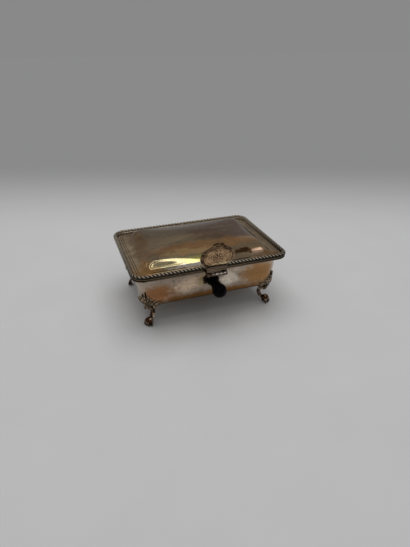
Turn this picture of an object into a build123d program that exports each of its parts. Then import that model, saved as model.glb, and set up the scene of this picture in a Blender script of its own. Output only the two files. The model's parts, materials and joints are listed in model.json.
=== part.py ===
from build123d import *

import os
from math import atan2, cos, radians, sin

# A small footed table box in plated sheet metal. The rope-edged, domed lid is hinged at the front,
# where an upright oval thumbpiece stands on the hinge above a short black knob.
# X runs along the front, Y to the back and Z up. Millimetres. The soles stand on Z = 0.

# Lid: a pressed sheet with a flat flange, two fine grooves, and a dome with a gentle crown
lid_width = 150.0
lid_depth = 109.0
lid_corner_radius = 12.0
lid_sheet = 1.0
dome_inset = 10.5
dome_corner_radius = 7.0
dome_slope_run = 12.0
dome_slope_rise = 9.2
dome_crown_rise = 4.3
crest_corner_radius = 9.0
groove_count = 2
groove_inset = 6.2
groove_pitch = 2.0
groove_width = 0.5
groove_depth = 0.3
# Shares of the slope's run and rise, from the foot of the dome up to its crest
slope_shares = ((0.0, 0.0), (0.1, 0.04), (0.24, 0.19), (0.45, 0.47), (0.66, 0.75), (0.82, 0.9), (1.0, 1.0))
# Shares of the crest's width and depth at which the crown has a section
crown_shares = (0.86, 0.7, 0.5, 0.3)
# How far the dome's inner face is drawn in, as a share of the sheet
slope_draw_share = 0.35

# Rope border: a half-round moulding on the edge of the lid
border_width = 4.0
border_height = 3.0
border_overhang = 1.0
border_flat = 0.3

# Tray: the drawn sheet body, with leaning walls and a flange under the lid
tray_floor_height = 21.5
tray_height = 34.0
tray_sheet = 1.0
mouth_inset = 5.0
wall_lean = 4.0
tray_corner_radius = 14.0
floor_edge_radius = 6.0
rim_setback = 0.4

# Wire soldered round the edge of the tray's flange
rim_wire_depth = 1.2
rim_wire_height = 1.6
rim_round_share = 0.45

# Hinge on the front edge: interleaved knuckles on one pin
hinge_width = 19.0
knuckle_count = 5
knuckle_radius = 1.7
knuckle_gap = 0.3
pin_radius = 0.75
pin_clearance = 0.05
pin_end = 0.3
hinge_reach = 3.9
hinge_drop = 3.0
tray_leaf_sheet = 1.0
tray_leaf_seat = 3.0
lid_leaf_sheet = 1.2
lid_tail_sheet = 1.0
lid_leaf_rise = 4.0
hinge_notch_clearance = 0.2

# Thumbpiece: an upright oval casting on the lid's half of the hinge
thumb_width = 32.0
thumb_height = 22.6
thumb_foot_cut = 1.7
thumb_sheet = 1.6
thumb_lean = radians(9.0)
thumb_rim_width = 1.5
thumb_rim_height = 0.5
thumb_ring_width = 18.0
thumb_ring_height = 14.0
thumb_ring_rise = 0.4
thumb_boss_radius = 2.2
thumb_boss_rise = 0.8
crest_width = 10.5
crest_height = 4.6
crest_slot_width = 5.6
crest_slot_height = 1.3
crest_seat = 1.5

# Knob: a turned black handle, square to the front wall, with its axis this far below the hinge pin
knob_drop = 11.5
knob_neck_radius = 4.7
knob_head_radius = 6.5
knob_head_distance = 16.6
knob_neck_fillet = 1.5

# Screw that holds the knob, with its washer and nut inside the tray
stud_radius = 1.5
stud_clearance = 0.05
stud_depth_in_knob = 9.0
stud_end = 0.5
washer_radius = 4.0
washer_sheet = 0.6
nut_width = 5.5
nut_height = 2.4

# Feet: four castings, each a knee shell on the tray's corner, a curved leg and a paw with toes
knee_sheet = 1.2
knee_rise = 15.5
knee_waist_rise = 9.0
knee_waist_width = 5.0
knee_tip_rise = 3.6
knee_tip_width = 12.5
knee_foot_drop = 2.6
knee_foot_width = 4.5
knee_overrun = 20.0
paw_outset = 13.1
paw_radius = 3.6
paw_height = 3.3
toe_radius = 1.6
toe_reach = 2.7
toe_spread = 38.0
toe_count = 3
leg_swing = 9.6
leg_width_at_knee = 8.0
leg_width_at_ankle = 3.6
leg_depth_at_knee = 5.2
leg_depth_at_ankle = 3.4
# Stations down the leg: share of the height under the tray, of the inward swing and of the thinning
leg_shares = (
    (0.95, 0.12, 0.0),
    (0.79, 0.58, 0.45),
    (0.61, 0.93, 0.85),
    (0.465, 1.0, 1.0),
    (0.316, 0.81, 1.0),
    (0.205, 0.45, 0.85),
    (0.167, 0.12, 0.7),
)

overrun = 5.0

# Levels and places that follow from the sizes above
flange_top = tray_floor_height + tray_height
lid_flange_top = flange_top + lid_sheet
wall_angle = atan2(wall_lean, tray_height)
mouth_width = lid_width - 2 * mouth_inset
mouth_depth = lid_depth - 2 * mouth_inset
floor_width = mouth_width - 2 * wall_lean
floor_depth = mouth_depth - 2 * wall_lean
hinge_z = flange_top - hinge_drop
knob_height = hinge_z - knob_drop
knob_rise = knob_height - tray_floor_height
knob_root = floor_depth / 2 + wall_lean * knob_rise / tray_height
knob_tip = knob_root + knob_head_distance * cos(wall_angle) + knob_head_radius
# The box and its knob together are centred on the origin
case_y = (knob_tip - lid_depth / 2) / 2
front_y = case_y - lid_depth / 2
hinge_y = front_y - hinge_reach
rim_inset = rim_setback + rim_wire_depth
leaf_top = lid_flange_top + lid_leaf_rise


def case_plane(height):
    return Plane(origin=(0, case_y, height))


def front_plane(y, z, lean):
    """A plane across the front, whose normal points forward and down by the lean."""
    return Plane(origin=(0, y, z), x_dir=(1, 0, 0), z_dir=(0, -cos(lean), -sin(lean)))


def finish(piece, name):
    piece.label = name
    export_step(piece, f"parts/{name}.step")


def wall_block(grow, foot, top, edge_radius):
    """The tray's outer form, grown by a distance, from one height above its floor to another."""
    with BuildPart() as block:
        for height in (foot, top):
            lean = 2 * wall_lean * height / tray_height
            width = floor_width + 2 * grow + lean
            depth = floor_depth + 2 * grow + lean
            radius = tray_corner_radius + grow + lean / 2
            with BuildSketch(case_plane(tray_floor_height + height)):
                RectangleRounded(width, depth, radius)
        loft(ruled=True)
        fillet(block.faces().sort_by(Axis.Z)[0].edges(), radius=edge_radius)
    return block.part


def dome_block(draw_in, drop):
    """The dome's form above the lid's flange, drawn in at its foot and lowered for the inner face."""
    foot_width = lid_width - 2 * dome_inset
    foot_depth = lid_depth - 2 * dome_inset
    with BuildPart() as block:
        for run_share, rise_share in slope_shares:
            run = dome_slope_run * run_share + draw_in
            radius = dome_corner_radius + (crest_corner_radius - dome_corner_radius) * run_share
            with BuildSketch(case_plane(lid_flange_top - drop + dome_slope_rise * rise_share)):
                RectangleRounded(foot_width - 2 * run, foot_depth - 2 * run, radius)
        crest_wide = foot_width - 2 * (dome_slope_run + draw_in)
        crest_deep = foot_depth - 2 * (dome_slope_run + draw_in)
        crest_top = lid_flange_top - drop + dome_slope_rise
        for share in crown_shares:
            rise = dome_crown_rise * (1 - share * share)
            with BuildSketch(case_plane(crest_top + rise)):
                RectangleRounded(crest_wide * share, crest_deep * share, crest_corner_radius * share)
        loft(ruled=True)
    return block.part


os.makedirs("parts", exist_ok=True)

# Tray: drawn body and flange in one sheet, hollow, with the hole for the knob's screw
tray_form = wall_block(0, 0, tray_height, floor_edge_radius)
tray_hollow = wall_block(-tray_sheet, tray_sheet, tray_height + overrun, floor_edge_radius - tray_sheet)
knob_plane = front_plane(case_y - knob_root, knob_height, wall_angle)
with BuildPart() as tray:
    add(tray_form)
    with BuildSketch(case_plane(flange_top - tray_sheet)):
        RectangleRounded(
            lid_width - 2 * rim_inset, lid_depth - 2 * rim_inset, lid_corner_radius - rim_inset
        )
    extrude(amount=tray_sheet)
    add(tray_hollow, mode=Mode.SUBTRACT)
    with BuildSketch(knob_plane):
        Circle(stud_radius + stud_clearance)
    extrude(amount=overrun, both=True, mode=Mode.SUBTRACT)
finish(tray.part, "tray")

# Wire round the flange, cut away where the hinge leaf passes
with BuildPart() as tray_rim_wire:
    with BuildSketch(case_plane(flange_top - rim_wire_height)):
        RectangleRounded(
            lid_width - 2 * rim_setback, lid_depth - 2 * rim_setback, lid_corner_radius - rim_setback
        )
        RectangleRounded(
            lid_width - 2 * rim_inset,
            lid_depth - 2 * rim_inset,
            lid_corner_radius - rim_inset,
            mode=Mode.SUBTRACT,
        )
    extrude(amount=rim_wire_height)
    rim_faces = tray_rim_wire.faces().filter_by(Axis.Z)
    fillet([face.outer_wire().edges() for face in rim_faces], radius=rim_wire_height * rim_round_share)
    with BuildSketch(Plane.XY.offset(flange_top)):
        with Locations((0, front_y)):
            Rectangle(hinge_width + 2 * hinge_notch_clearance, 2 * rim_inset + overrun)
    extrude(amount=rim_wire_height, both=True, mode=Mode.SUBTRACT)
finish(tray_rim_wire.part, "tray_rim_wire")

# Lid: flange, dome and grooves pressed in one sheet
dome_form = dome_block(0, 0)
dome_hollow = dome_block(lid_sheet * slope_draw_share, lid_sheet)
with BuildPart() as lid_shell:
    lid_plate_width = lid_width - 2 * border_overhang
    lid_plate_depth = lid_depth - 2 * border_overhang
    with BuildSketch(case_plane(flange_top)):
        RectangleRounded(lid_plate_width, lid_plate_depth, lid_corner_radius - border_overhang)
    extrude(amount=lid_sheet)
    add(dome_form)
    add(dome_hollow, mode=Mode.SUBTRACT)
    for count in range(groove_count):
        outer = groove_inset + count * groove_pitch
        inner = outer + groove_width
        with BuildSketch(case_plane(lid_flange_top)):
            RectangleRounded(lid_width - 2 * outer, lid_depth - 2 * outer, lid_corner_radius - outer / 2)
            RectangleRounded(
                lid_width - 2 * inner,
                lid_depth - 2 * inner,
                lid_corner_radius - outer / 2 - groove_width,
                mode=Mode.SUBTRACT,
            )
        extrude(amount=-groove_depth, mode=Mode.SUBTRACT)
finish(lid_shell.part, "lid_shell")

# Rope border, cut away where the hinge leaf is soldered to the lid
with BuildPart() as lid_rope_border:
    with BuildSketch(case_plane(lid_flange_top)):
        RectangleRounded(lid_width, lid_depth, lid_corner_radius)
        RectangleRounded(
            lid_width - 2 * border_width,
            lid_depth - 2 * border_width,
            lid_corner_radius - border_width,
            mode=Mode.SUBTRACT,
        )
    extrude(amount=border_height)
    fillet(
        lid_rope_border.faces().sort_by(Axis.Z)[-1].edges(), radius=(border_width - border_flat) / 2
    )
    with BuildSketch(Plane.XY.offset(lid_flange_top)):
        with Locations((0, front_y)):
            Rectangle(hinge_width + 2 * hinge_notch_clearance, 2 * border_width + overrun)
    extrude(amount=2 * border_height, both=True, mode=Mode.SUBTRACT)
finish(lid_rope_border.part, "lid_rope_border")

# Hinge: where each knuckle stands along the pin
knuckle_length = (hinge_width - (knuckle_count - 1) * knuckle_gap) / knuckle_count
knuckle_step = knuckle_length + knuckle_gap
knuckle_places = [(count - (knuckle_count - 1) / 2) * knuckle_step for count in range(knuckle_count)]
tray_places = knuckle_places[0::2]
lid_places = knuckle_places[1::2]
slot_width = knuckle_length + 2 * knuckle_gap
knuckle_back = hinge_y + knuckle_radius
leaf_back = front_y + rim_inset + tray_leaf_seat
tail_back = front_y + border_width
pin_hole_radius = pin_radius + pin_clearance
# The lid's leaf clears the tray's knuckles and the tray's leaf
lid_notch_reach = hinge_drop - tray_sheet + knuckle_gap

with BuildPart() as tray_hinge_leaf:
    with BuildSketch(Plane.XY.offset(flange_top - tray_sheet)):
        with Locations((0, (hinge_y + leaf_back) / 2)):
            Rectangle(hinge_width, leaf_back - hinge_y)
        for place in lid_places:
            with Locations((place, hinge_y)):
                Rectangle(slot_width, 2 * (knuckle_radius + knuckle_gap), mode=Mode.SUBTRACT)
    extrude(amount=-tray_leaf_sheet)
    for place in tray_places:
        with BuildSketch(Plane(origin=(place, hinge_y, hinge_z), z_dir=(1, 0, 0))):
            Circle(knuckle_radius)
        extrude(amount=knuckle_length / 2, both=True)
    with BuildSketch(Plane(origin=(0, hinge_y, hinge_z), z_dir=(1, 0, 0))):
        Circle(pin_hole_radius)
    extrude(amount=hinge_width, both=True, mode=Mode.SUBTRACT)
finish(tray_hinge_leaf.part, "tray_hinge_leaf")

with BuildPart() as lid_hinge_leaf:
    with BuildSketch(Plane.XY.offset(lid_flange_top)):
        with Locations((0, (knuckle_back + tail_back) / 2)):
            Rectangle(hinge_width, tail_back - knuckle_back)
    extrude(amount=lid_tail_sheet)
    with BuildSketch(Plane(origin=(0, knuckle_back, 0), x_dir=(1, 0, 0), z_dir=(0, -1, 0))):
        with Locations((0, (hinge_z + leaf_top) / 2)):
            Rectangle(hinge_width, leaf_top - hinge_z)
        for place in tray_places:
            with Locations((place, hinge_z)):
                Rectangle(slot_width, 2 * lid_notch_reach, mode=Mode.SUBTRACT)
    extrude(amount=lid_leaf_sheet)
    for place in lid_places:
        with BuildSketch(Plane(origin=(place, hinge_y, hinge_z), z_dir=(1, 0, 0))):
            Circle(knuckle_radius)
        extrude(amount=knuckle_length / 2, both=True)
    with BuildSketch(Plane(origin=(0, hinge_y, hinge_z), z_dir=(1, 0, 0))):
        Circle(pin_hole_radius)
    extrude(amount=hinge_width, both=True, mode=Mode.SUBTRACT)
finish(lid_hinge_leaf.part, "lid_hinge_leaf")

with BuildPart() as hinge_pin:
    with BuildSketch(Plane(origin=(0, hinge_y, hinge_z), z_dir=(1, 0, 0))):
        Circle(pin_radius)
    extrude(amount=hinge_width / 2 + pin_end, both=True)
finish(hinge_pin.part, "hinge_pin")

# Thumbpiece: an oval plate with a raised rim, a ring and a boss, and a pierced crest on top
thumb_plane = front_plane(knuckle_back - lid_leaf_sheet / 2, leaf_top, thumb_lean)
thumb_centre = thumb_height / 2 - thumb_foot_cut
with BuildPart() as thumbpiece:
    with BuildSketch(thumb_plane):
        with Locations((0, thumb_centre)):
            Ellipse(thumb_width / 2, thumb_height / 2)
        with Locations((0, thumb_centre + thumb_height / 2 + crest_height / 2 - crest_seat)):
            Ellipse(crest_width / 2, crest_height / 2)
            Ellipse(crest_slot_width / 2, crest_slot_height / 2, mode=Mode.SUBTRACT)
    extrude(amount=thumb_sheet / 2, both=True)
    with BuildSketch(thumb_plane.offset(thumb_sheet / 2)):
        with Locations((0, thumb_centre)):
            Ellipse(thumb_width / 2, thumb_height / 2)
            Ellipse(
                thumb_width / 2 - thumb_rim_width, thumb_height / 2 - thumb_rim_width, mode=Mode.SUBTRACT
            )
    extrude(amount=thumb_rim_height)
    with BuildSketch(thumb_plane.offset(thumb_sheet / 2)):
        with Locations((0, thumb_centre)):
            Ellipse(thumb_ring_width / 2, thumb_ring_height / 2)
            Ellipse(
                thumb_ring_width / 2 - thumb_rim_width,
                thumb_ring_height / 2 - thumb_rim_width,
                mode=Mode.SUBTRACT,
            )
    extrude(amount=thumb_ring_rise)
    with BuildSketch(thumb_plane.offset(thumb_sheet / 2)):
        with Locations((0, thumb_centre)):
            Circle(thumb_boss_radius)
    extrude(amount=thumb_boss_rise)
    split(bisect_by=Plane.XY.offset(leaf_top), keep=Keep.TOP)
finish(thumbpiece.part, "thumbpiece")

# Knob and its screw, all on one axis square to the front wall
knob_axis = Axis(knob_plane.origin, knob_plane.z_dir)
wall_gauge = tray_sheet * cos(wall_angle)
along_knob = (Align.CENTER, Align.CENTER, Align.MIN)
with BuildPart(knob_plane) as knob:
    Cylinder(knob_neck_radius, knob_head_distance, align=along_knob)
    with Locations((0, 0, knob_head_distance)):
        Sphere(knob_head_radius)
    neck_edges = knob.edges().filter_by(GeomType.CIRCLE).sort_by(SortBy.RADIUS)[:2]
    fillet(neck_edges.sort_by(knob_axis)[-1], radius=knob_neck_fillet)
    Cylinder(stud_radius + stud_clearance, stud_depth_in_knob, align=along_knob, mode=Mode.SUBTRACT)
finish(knob.part, "knob")

with BuildPart(knob_plane.offset(-wall_gauge - washer_sheet)) as knob_washer:
    Cylinder(washer_radius, washer_sheet, align=along_knob)
    Cylinder(stud_radius + stud_clearance, washer_sheet, align=along_knob, mode=Mode.SUBTRACT)
finish(knob_washer.part, "knob_washer")

with BuildPart() as knob_nut:
    with BuildSketch(knob_plane.offset(-wall_gauge - washer_sheet)):
        RegularPolygon(nut_width / 2, side_count=6, major_radius=False)
        Circle(stud_radius + stud_clearance, mode=Mode.SUBTRACT)
    extrude(amount=-nut_height)
finish(knob_nut.part, "knob_nut")

stud_back = wall_gauge + washer_sheet + nut_height + stud_end
with BuildPart(knob_plane.offset(-stud_back)) as knob_stud:
    Cylinder(stud_radius, stud_back + stud_depth_in_knob - stud_clearance, align=along_knob)
finish(knob_stud.part, "knob_stud")

# Feet: one casting at the front right corner, mirrored to the other three
corner_x = floor_width / 2 - tray_corner_radius
corner_y = case_y - (floor_depth / 2 - tray_corner_radius)
outward = Vector(1, -1, 0).normalized()
sideways = Vector(1, 1, 0).normalized()


def corner_point(outset, height):
    """A point on the corner's diagonal, outset from the centre of the corner's curve."""
    return Vector(corner_x, corner_y, height) + outward * outset


def leg_point(station):
    height_share, swing_share, _ = station
    return corner_point(paw_outset - leg_swing * swing_share, tray_floor_height * height_share)


knee_skin = wall_block(knee_sheet, -knee_sheet, tray_height, floor_edge_radius + knee_sheet)
knee_top = tray_floor_height + knee_rise
knee_waist = tray_floor_height + knee_waist_rise
knee_tip = tray_floor_height + knee_tip_rise
knee_foot = tray_floor_height - knee_foot_drop
with BuildPart() as knee:
    with BuildSketch(Plane(origin=(corner_x, corner_y, 0), x_dir=sideways, z_dir=outward)):
        with BuildLine():
            ThreePointArc((0, knee_top), (knee_waist_width, knee_waist), (knee_tip_width, knee_tip))
            Line((knee_tip_width, knee_tip), (knee_foot_width, knee_foot))
            Line((knee_foot_width, knee_foot), (0, knee_foot))
            mirror(about=Plane.YZ)
        make_face()
    extrude(amount=knee_overrun)
    add(knee_skin, mode=Mode.INTERSECT)

with BuildPart() as leg:
    for count, station in enumerate(leg_shares):
        before = leg_point(leg_shares[max(count - 1, 0)])
        after = leg_point(leg_shares[min(count + 1, len(leg_shares) - 1)])
        width = leg_width_at_knee + (leg_width_at_ankle - leg_width_at_knee) * station[2]
        depth = leg_depth_at_knee + (leg_depth_at_ankle - leg_depth_at_knee) * station[2]
        with BuildSketch(Plane(origin=leg_point(station), x_dir=sideways, z_dir=after - before)):
            Ellipse(width / 2, depth / 2)
    loft()

with BuildPart() as foot_casting:
    add(knee.part)
    add(leg.part)
    with Locations(corner_point(paw_outset, paw_height)):
        Sphere(paw_radius)
    for count in range(toe_count):
        turn = radians((count - (toe_count - 1) / 2) * toe_spread)
        toe_place = outward * (cos(turn) * toe_reach) + sideways * (sin(turn) * toe_reach)
        with Locations(corner_point(paw_outset, toe_radius) + toe_place):
            Sphere(toe_radius)
    add(tray_form, mode=Mode.SUBTRACT)
    split(bisect_by=Plane.XY, keep=Keep.TOP)

for name, across, along in (
    ("foot_front_right", False, False),
    ("foot_front_left", True, False),
    ("foot_back_right", False, True),
    ("foot_back_left", True, True),
):
    with BuildPart() as foot:
        add(foot_casting.part)
        if across:
            mirror(about=Plane.YZ, mode=Mode.REPLACE)
        if along:
            mirror(about=Plane(origin=(0, case_y, 0), z_dir=(0, 1, 0)), mode=Mode.REPLACE)
    finish(foot.part, name)
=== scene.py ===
import json
from math import atan2, cos, pi, radians, sin, sqrt, tan

import bmesh
import bpy
import numpy as np
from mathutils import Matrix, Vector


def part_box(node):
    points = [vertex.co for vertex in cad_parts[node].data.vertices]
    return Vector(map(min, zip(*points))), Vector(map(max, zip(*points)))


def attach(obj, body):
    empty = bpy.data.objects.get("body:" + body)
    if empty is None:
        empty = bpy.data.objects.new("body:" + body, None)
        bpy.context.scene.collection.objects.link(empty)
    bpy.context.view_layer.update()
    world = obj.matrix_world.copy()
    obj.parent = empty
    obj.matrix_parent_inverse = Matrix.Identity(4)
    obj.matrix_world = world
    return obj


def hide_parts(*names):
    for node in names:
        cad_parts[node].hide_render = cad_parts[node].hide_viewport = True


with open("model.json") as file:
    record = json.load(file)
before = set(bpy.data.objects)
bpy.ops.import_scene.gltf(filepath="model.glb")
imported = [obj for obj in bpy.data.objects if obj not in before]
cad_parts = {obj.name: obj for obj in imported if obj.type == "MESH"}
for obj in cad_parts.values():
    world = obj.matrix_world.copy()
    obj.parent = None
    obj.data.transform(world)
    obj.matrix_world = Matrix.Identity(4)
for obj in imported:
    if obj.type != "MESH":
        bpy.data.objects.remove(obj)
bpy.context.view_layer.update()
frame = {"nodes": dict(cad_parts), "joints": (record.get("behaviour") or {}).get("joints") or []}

# A small footed table box in tarnished silver plate. Lengths here are millimetres, and MM turns them
# into the frame's metres. X runs along the front, Y to the back and Z up.
MM = 0.001
scene = bpy.context.scene


def node_box(name):
    """A CAD node's lowest and highest corner, in millimetres."""
    return [np.array(corner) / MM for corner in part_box(name)]


# Places and sizes read from the frame
rim_low, rim_high = node_box("lid_rope_border")
tray_low, tray_high = node_box("tray")
leaf_low, leaf_high = node_box("lid_hinge_leaf")
hinge = next(joint for joint in frame["joints"] if joint["name"] == "lid_hinge")
hinge_y, hinge_z = (value / MM for value in hinge["pos_m"][1:])
case_y = (rim_low[1] + rim_high[1]) / 2
lid_half = (rim_high - rim_low)[:2] / 2
lid_top = rim_low[2]
lid_under = node_box("lid_shell")[0][2]
floor_z = tray_low[2]
mouth_z = tray_high[2]

# Lid: a flat band with two fine grooves, a slope and a pillowed crown
lid_corner_radius = 12.0
lid_edge_inset = 1.0
dome_inset = 10.5
dome_corner_radius = 4.0
crest_corner_radius = 6.0
crown_rise = 4.3
groove_insets = (6.2, 8.2)
groove_width = 0.6
groove_depth = 0.28
# The slope as (run, rise): steep by the corners, and easier towards the middle of each side
corner_slope = (
    (0.0, 0.0), (1.2, 0.1), (2.4, 0.4), (3.6, 1.11), (5.0, 2.5), (7.0, 5.5), (8.4, 7.11), (9.6, 8.05),
    (10.8, 8.7), (12.0, 9.2),
)
middle_slope = (
    (0.0, 0.0), (1.2, 0.22), (2.4, 0.85), (3.6, 1.85), (5.0, 3.12), (7.0, 4.78), (9.0, 6.2), (11.0, 7.4),
    (13.0, 8.38), (15.0, 9.2),
)
crest_steepness = (0.27, 0.38)
eased_half = (50.0, 32.0)
inner_draw = 0.35
sheet = 1.0

# Tray: leaning walls on a rounded floor edge
mouth_inset = 5.0
wall_lean = 4.0
tray_corner_radius = 14.0
floor_edge_radius = 6.0
flange_inset = 1.6
wall_slope = wall_lean / (mouth_z - floor_z)
wall_angle = atan2(wall_lean, mouth_z - floor_z)
floor_half = lid_half - mouth_inset - wall_lean

# How finely outlines and curves are stepped
CORNER_STEPS = 14
SIDE_STEPS = 24
SLOPE_STEPS = 34
SLOPE_SAMPLES = 400
CROWN_STEPS = 18

# Edges that turn by more degrees than these stay crisp
sheet_crease = 30
plain_crease = 40
turned_crease = 50
relief_crease = 75


# Mesh helpers

def shown(name, data):
    """A new object in the scene that holds the data given."""
    made = bpy.data.objects.new(name, data)
    scene.collection.objects.link(made)
    return made


def smooth(made, crease):
    """Smooth shading that breaks at edges that turn by more than the crease, in degrees."""
    made.data.polygons.foreach_set("use_smooth", [True] * len(made.data.polygons))
    made.data.set_sharp_from_angle(angle=radians(crease))
    return made


def piece(name, points, faces, crease=plain_crease):
    """A mesh object from points in millimetres, with its faces turned outwards and shaded smooth."""
    mesh = bpy.data.meshes.new(name)
    mesh.from_pydata([tuple(point) for point in np.asarray(points) * MM], [], faces)
    work = bmesh.new()
    work.from_mesh(mesh)
    bmesh.ops.recalc_face_normals(work, faces=work.faces)
    work.to_mesh(mesh)
    work.free()
    return smooth(shown(name, mesh), crease)


def finished(made, name):
    """The object's evaluated mesh as a plain object, in place of the one with modifiers."""
    mesh = bpy.data.meshes.new_from_object(made.evaluated_get(bpy.context.evaluated_depsgraph_get()))
    bpy.data.objects.remove(made)
    return shown(name, mesh)


def joined(name, parts, crease):
    """Several objects as one, shaded smooth together."""
    work = bmesh.new()
    for part in parts:
        work.from_mesh(part.data)
    mesh = bpy.data.meshes.new(name)
    work.to_mesh(mesh)
    work.free()
    for part in parts:
        bpy.data.objects.remove(part)
    return smooth(shown(name, mesh), crease)


def outline(half, radius, height):
    """A rounded rectangle about the case's middle, counterclockwise from the middle of its front."""
    front_middle = np.array((0.0, -half[1]))
    start = front_middle
    path = []
    for across, along, first_angle in ((1, -1, -90), (1, 1, 0), (-1, 1, 90), (-1, -1, 180)):
        centre = np.array((across, along)) * (np.asarray(half) - radius)
        angles = np.radians(first_angle + 90 * np.linspace(0, 1, CORNER_STEPS + 1))
        arc = centre + radius * np.c_[np.cos(angles), np.sin(angles)]
        path.extend(np.linspace(start, arc[0], SIDE_STEPS, endpoint=False))
        path.extend(arc[:-1])
        start = arc[-1]
    path.extend(np.linspace(start, front_middle, SIDE_STEPS, endpoint=False))
    path = np.array(path)
    return np.c_[path[:, 0], path[:, 1] + case_y, np.full(len(path), height)]


def open_outline(inset, height, gap):
    """The lid's outline drawn in by an inset, open at the middle of the front by a gap."""
    half = lid_half - inset
    ring = outline(half, lid_corner_radius - inset, height)
    in_gap = (abs(ring[:, 0]) < gap / 2) & (ring[:, 1] < case_y)
    front = case_y - half[1]
    return np.vstack(((gap / 2, front, height), ring[~in_gap], (-gap / 2, front, height)))


def skin(name, rings, crease=plain_crease):
    """A closed mesh through rings of as many points each, with its first and last ring filled."""
    count = len(rings[0])
    faces = [tuple(range(count)), tuple(range(len(rings) * count - count, len(rings) * count))]
    for low in range(0, (len(rings) - 1) * count, count):
        for index in range(count):
            after = (index + 1) % count
            faces.append((low + index, low + after, low + count + after, low + count + index))
    return piece(name, np.vstack(rings), faces, crease)


def hermite(knots, first_slope, last_slope, at):
    """A smooth curve through knots of (x, y), read at the given x values."""
    x, y = np.array(knots).T
    secants = np.diff(y) / np.diff(x)
    slopes = np.r_[first_slope, (secants[1:] + secants[:-1]) / 2, last_slope]
    span = np.clip(np.searchsorted(x, at, side="right") - 1, 0, len(x) - 2)
    width = x[span + 1] - x[span]
    t = (at - x[span]) / width
    return (
        y[span] * (2 * t**3 - 3 * t**2 + 1)
        + slopes[span] * width * (t**3 - 2 * t**2 + t)
        + y[span + 1] * (3 * t**2 - 2 * t**3)
        + slopes[span + 1] * width * (t**3 - t**2)
    )


def spline(points, spacing):
    """Points spaced evenly along a smooth curve through the given points."""
    points = np.array(points, float)
    knots = np.r_[0, np.cumsum(np.linalg.norm(np.diff(points, axis=0), axis=1))]
    at = np.linspace(0, knots[-1], max(2, int(knots[-1] / spacing) + 1))
    columns = []
    for values in points.T:
        first_slope = (values[1] - values[0]) / (knots[1] - knots[0])
        last_slope = (values[-1] - values[-2]) / (knots[-1] - knots[-2])
        columns.append(hermite(np.c_[knots, values], first_slope, last_slope, at))
    return np.array(columns).T


# Shells

def eased(ring, amount):
    """A ring drawn in by an amount at the middle of each side, and less towards its corners."""
    across, along = ring[:, 0].copy(), ring[:, 1] - case_y
    for axis, place, other, half in ((0, across, along, eased_half[1]), (1, along, across, eased_half[0])):
        share = np.cos(pi / 2 * np.clip(abs(other) / half, 0, 1)) ** 2
        ring[:, axis] -= np.sign(place) * amount * share
    return ring


def dome_rings(drop, draw):
    """Rings from the foot of the dome up its slope and over its crown to the middle."""
    rings = []
    level = lid_top - drop
    foot = lid_half - dome_inset - draw
    longest, highest = corner_slope[-1]
    runs = np.linspace(0, longest, SLOPE_STEPS)
    rises = np.clip(hermite(corner_slope, 0, crest_steepness[0], runs), 0, highest)
    fine = np.linspace(0, middle_slope[-1][0], SLOPE_SAMPLES)
    middle_runs = np.interp(rises, hermite(middle_slope, 0, crest_steepness[1], fine), fine)
    for run, rise, middle_run in zip(runs, rises, middle_runs):
        radius = dome_corner_radius + (crest_corner_radius - dome_corner_radius) * run / longest
        rings.append(eased(outline(foot - run, radius, level + rise), middle_run - run))
    crest = rings[-1]
    half = foot - longest
    around = np.arctan2((crest[:, 1] - case_y) / half[1], crest[:, 0] / half[0])
    oval = np.c_[half[0] * np.cos(around), case_y + half[1] * np.sin(around)]
    middle = np.array((0.0, case_y))
    for share in np.linspace(1, 0, CROWN_STEPS, endpoint=False)[1:]:
        flat = crest[:, :2] * share + oval * (1 - share)
        flat = middle + (flat - middle) * share
        rings.append(np.c_[flat, np.full(len(flat), level + highest + crown_rise * (1 - share**2))])
    return rings


def lid_rings():
    """The lid's sheet from the middle of its underside, round its edge, to the middle of its top."""
    edge = lid_half - lid_edge_inset
    edge_radius = lid_corner_radius - lid_edge_inset
    rings = dome_rings(sheet, inner_draw)[::-1]
    rings += [outline(edge, edge_radius, lid_under), outline(edge, edge_radius, lid_top)]
    for inset in groove_insets:
        for across, depth in ((0, 0), (0.5, groove_depth), (1, 0)):
            place = inset + groove_width * across
            rings.append(outline(lid_half - place, lid_corner_radius - place / 2, lid_top - depth))
    return rings + dome_rings(0, 0)


def wall_ring(grow, height):
    """The tray's outline at a height, grown by a distance."""
    lean = wall_slope * (height - floor_z)
    return outline(floor_half + grow + lean, tray_corner_radius + grow + lean, height)


def floor_edge_rings(grow, radius, level):
    """Rings of the round edge between the floor at a level and the leaning wall."""
    lean = wall_slope * (level - floor_z)
    rings = []
    for angle in np.linspace(-pi / 2, -wall_angle, CORNER_STEPS):
        inset = radius / cos(wall_angle) - radius * tan(wall_angle) - radius * cos(angle)
        size = grow + lean - inset
        rings.append(outline(floor_half + size, tray_corner_radius + size, level + radius * (1 + sin(angle))))
    return rings


def tray_rings():
    """The tray's sheet from its inner floor, over the flange, to its underside."""
    flange = lid_half - flange_inset
    flange_radius = lid_corner_radius - flange_inset
    rings = floor_edge_rings(-sheet, floor_edge_radius - sheet, floor_z + sheet)
    rings += [wall_ring(-sheet, mouth_z - sheet), wall_ring(-sheet / 2, mouth_z)]
    rings += [outline(flange, flange_radius, mouth_z), outline(flange, flange_radius, mouth_z - sheet)]
    rings += [wall_ring(sheet / 2, mouth_z - sheet), wall_ring(0, mouth_z - 2 * sheet)]
    return rings + floor_edge_rings(0, floor_edge_radius, floor_z)[::-1]


# Rope border: a moulding with an outer lip, a twisted rope and a small inner bead
hinge_gap = 19.4
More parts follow.
